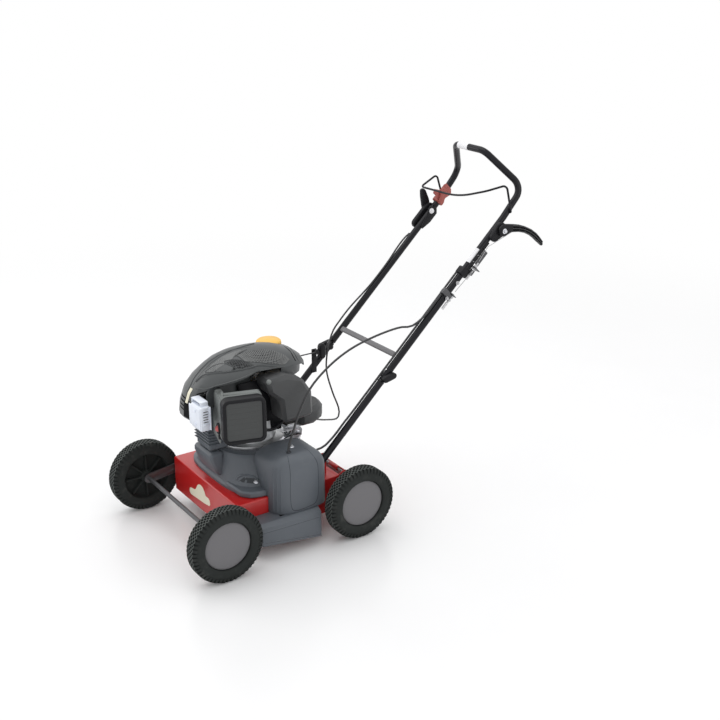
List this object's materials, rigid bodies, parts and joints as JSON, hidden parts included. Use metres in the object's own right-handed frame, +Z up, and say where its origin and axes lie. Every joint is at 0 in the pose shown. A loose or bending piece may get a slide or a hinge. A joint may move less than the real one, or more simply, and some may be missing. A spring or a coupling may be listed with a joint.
{
  "type": "lawn scarifier",
  "caption": "Walk-behind petrol lawn scarifier with bladed rotor, upright-shaft engine, belt drive, wheels, rear flap and a folding tubular handle.",
  "frame": {"origin": "middle of the whole machine's box, on the ground under it", "axes": "+Z up, the front of the machine towards -Y, +X towards the side with the belt drive"},
  "size_m": [0.5168, 1.1765, 0.9623],
  "materials": {
    "red_paint": "gloss",
    "grey_plastic": "matt",
    "tyre_black": "matt",
    "hubcap_grey": "matt",
    "black_plastic": "satin",
    "black_enamel": "gloss",
    "bare_steel": "satin",
    "dark_steel": "satin",
    "cast_alloy": "satin",
    "blade_red": "satin",
    "tank_charcoal": "satin",
    "cap_yellow": "satin",
    "latch_red": "satin",
    "zinc_plate": "satin",
    "primer_red": "satin",
    "cable_black": "satin"
  },
  "bodies": {
    "root": {"deck": "red_paint", "rear_axle": "bare_steel", "rotor_bearing_far": "cast_alloy", "rotor_bearing_near": "cast_alloy", "drive_belt": "cable_black", "engine_bell": "grey_plastic", "belt_guard": "grey_plastic", "side_skirt": "grey_plastic", "flap_rod": "bare_steel", "engine_block": "cast_alloy", "cylinder_head": "cast_alloy", "spark_plug": "zinc_plate", "muffler": "zinc_plate", "filter_cover": "black_plastic", "filter_base": "black_plastic", "carburettor": "cast_alloy", "fuel_tank": "tank_charcoal", "blower_shroud": "black_plastic", "rope_guide": "zinc_plate", "lower_tube_near": "black_enamel", "lower_tube_far": "black_enamel", "clutch_cable": "cable_black", "depth_cable": "cable_black", "throttle_cable": "cable_black"},
    "front_swing": {"front_axle": "bare_steel"},
    "wheel_front_near": {"wheel_front_near": "tyre_black", "hubcap_front_near": "hubcap_grey"},
    "wheel_front_far": {"wheel_front_far": "tyre_black", "hubcap_front_far": "hubcap_grey"},
    "wheel_rear_near": {"wheel_rear_near": "tyre_black", "hubcap_rear_near": "hubcap_grey"},
    "wheel_rear_far": {"wheel_rear_far": "tyre_black", "hubcap_rear_far": "hubcap_grey"},
    "rotor": {"blade_rotor": "blade_red", "rotor_pulley": "dark_steel"},
    "crank": {"crankshaft": "bare_steel", "engine_pulley": "dark_steel", "flywheel": "cast_alloy"},
    "tension_arm": {"tension_arm": "dark_steel"},
    "idler_front": {"idler_front": "dark_steel"},
    "idler_rear": {"idler_rear": "dark_steel"},
    "rear_flap": {"rear_flap": "red_paint"},
    "fuel_cap": {"fuel_cap": "cap_yellow"},
    "oil_cap": {"oil_filler_cap": "black_plastic"},
    "starter": {"starter_grip": "black_plastic", "starter_rope": "cable_black"},
    "primer": {"primer_bulb": "primer_red"},
    "handle": {"upper_handle": "black_enamel", "crossbar": "hubcap_grey", "lock_clamp": "latch_red", "depth_housing": "black_plastic", "throttle_housing": "black_plastic", "cable_adjuster": "black_plastic", "cable_clamp": "dark_steel"},
    "bail": {"bail": "black_enamel"},
    "lock_lever": {"lock_lever": "latch_red"},
    "depth_lever": {"depth_lever": "black_plastic"},
    "throttle_lever": {"throttle_lever": "black_plastic"},
    "fold_knob_near": {"fold_knob_near": "black_plastic"},
    "fold_knob_far": {"fold_knob_far": "black_plastic"}
  },
  "joints": [
    {"name": "depth_lever_turn", "type": "hinge", "parent": "handle", "child": "depth_lever", "pos_m": [0.1648, 0.44075, 0.75], "axis": [1, 0, 0], "range_deg": [-20, 34]},
    {"name": "front_axle_swing", "type": "hinge", "parent": "root", "child": "front_swing", "pos_m": [0, -0.39425, 0.112], "axis": [1, 0, 0], "range_deg": [-12, 8]},
    {"name": "wheel_front_near_spin", "type": "hinge", "parent": "front_swing", "child": "wheel_front_near", "pos_m": [0.2374, -0.48825, 0.1], "axis": [1, 0, 0], "continuous": true},
    {"name": "wheel_front_far_spin", "type": "hinge", "parent": "front_swing", "child": "wheel_front_far", "pos_m": [-0.2374, -0.48825, 0.1], "axis": [1, 0, 0], "continuous": true},
    {"name": "wheel_rear_near_spin", "type": "hinge", "parent": "root", "child": "wheel_rear_near", "pos_m": [0.2374, -0.08425, 0.1], "axis": [1, 0, 0], "continuous": true},
    {"name": "wheel_rear_far_spin", "type": "hinge", "parent": "root", "child": "wheel_rear_far", "pos_m": [-0.2374, -0.08425, 0.1], "axis": [1, 0, 0], "continuous": true},
    {"name": "crank_spin", "type": "hinge", "parent": "root", "child": "crank", "pos_m": [-0.03, -0.26625, 0.2], "axis": [0, 0, 1], "continuous": true},
    {"name": "rotor_spin", "type": "hinge", "parent": "root", "child": "rotor", "pos_m": [0, -0.26625, 0.074], "axis": [1, 0, 0], "continuous": true},
    {"name": "idler_front_spin", "type": "hinge", "parent": "tension_arm", "child": "idler_front", "pos_m": [0.16705, -0.29875, 0.17683], "axis": [0, 1, 0], "continuous": true},
    {"name": "idler_rear_spin", "type": "hinge", "parent": "tension_arm", "child": "idler_rear", "pos_m": [0.16705, -0.23375, 0.17683], "axis": [0, 1, 0], "continuous": true},
    {"name": "bail_squeeze", "type": "hinge", "parent": "handle", "child": "bail", "pos_m": [0, 0.47975, 0.79283], "axis": [-1, 0, 0], "range_deg": [0, 34], "stiffness_Nm_per_rad": 1.5, "springref_deg": -17.19},
    {"name": "belt_tension", "type": "hinge", "parent": "root", "child": "tension_arm", "pos_m": [0.12, -0.26625, 0.172], "axis": [0, -1, 0], "range_deg": [0, 4]},
    {"name": "flap_swing", "type": "hinge", "parent": "root", "child": "rear_flap", "pos_m": [0, -0.08125, 0.153], "axis": [1, 0, 0], "range_deg": [0, 70]},
    {"name": "fuel_cap_turn", "type": "hinge", "parent": "root", "child": "fuel_cap", "pos_m": [-0.055, -0.18125, 0.474], "axis": [0, 0, 1], "range_deg": [0, 120]},
    {"name": "oil_cap_turn", "type": "hinge", "parent": "root", "child": "oil_cap", "pos_m": [-0.107, -0.21925, 0.305], "axis": [0, 0, 1], "range_deg": [0, 360]},
    {"name": "starter_pull", "type": "slide", "parent": "root", "child": "starter", "axis": [0, 1, 0], "range_m": [0, 0.1], "stiffness_N_per_m": 20, "springref_m": -0.3},
    {"name": "primer_press", "type": "slide", "parent": "root", "child": "primer", "axis": [0.2706, 0.9627, 0], "range_m": [0, 0.004], "stiffness_N_per_m": 800, "springref_m": -0.002},
    {"name": "handle_fold", "type": "hinge", "parent": "root", "child": "handle", "pos_m": [0, 0.06735, 0.39527], "axis": [1, 0, 0], "range_deg": [0, 86], "deforming": ["clutch_cable", "depth_cable", "throttle_cable"]},
    {"name": "fold_knob_near_turn", "type": "hinge", "parent": "root", "child": "fold_knob_near", "pos_m": [0.1415, 0.06735, 0.39527], "axis": [1, 0, 0], "range_deg": [0, 360]},
    {"name": "fold_knob_far_turn", "type": "hinge", "parent": "root", "child": "fold_knob_far", "pos_m": [-0.1415, 0.06735, 0.39527], "axis": [1, 0, 0], "range_deg": [0, 360]},
    {"name": "lock_press", "type": "hinge", "parent": "handle", "child": "lock_lever", "pos_m": [-0.1267, 0.45547, 0.77498], "axis": [1, 0, 0], "range_deg": [0, 20], "stiffness_Nm_per_rad": 0.2, "springref_deg": -11.46},
    {"name": "throttle_turn", "type": "hinge", "parent": "handle", "child": "throttle_lever", "pos_m": [-0.1648, 0.43575, 0.745], "axis": [1, 0, 0], "range_deg": [-15, 40]}
  ],
  "couplings": [
    {"joint": "front_axle_swing", "follows": "depth_lever_turn", "ratio": -0.35},
    {"joint": "rotor_spin", "follows": "crank_spin", "ratio": 0.94203},
    {"joint": "idler_front_spin", "follows": "crank_spin", "ratio": 1.6582},
    {"joint": "idler_rear_spin", "follows": "crank_spin", "ratio": -1.6582},
    {"joint": "belt_tension", "follows": "bail_squeeze", "ratio": 0.11765}
  ]
}
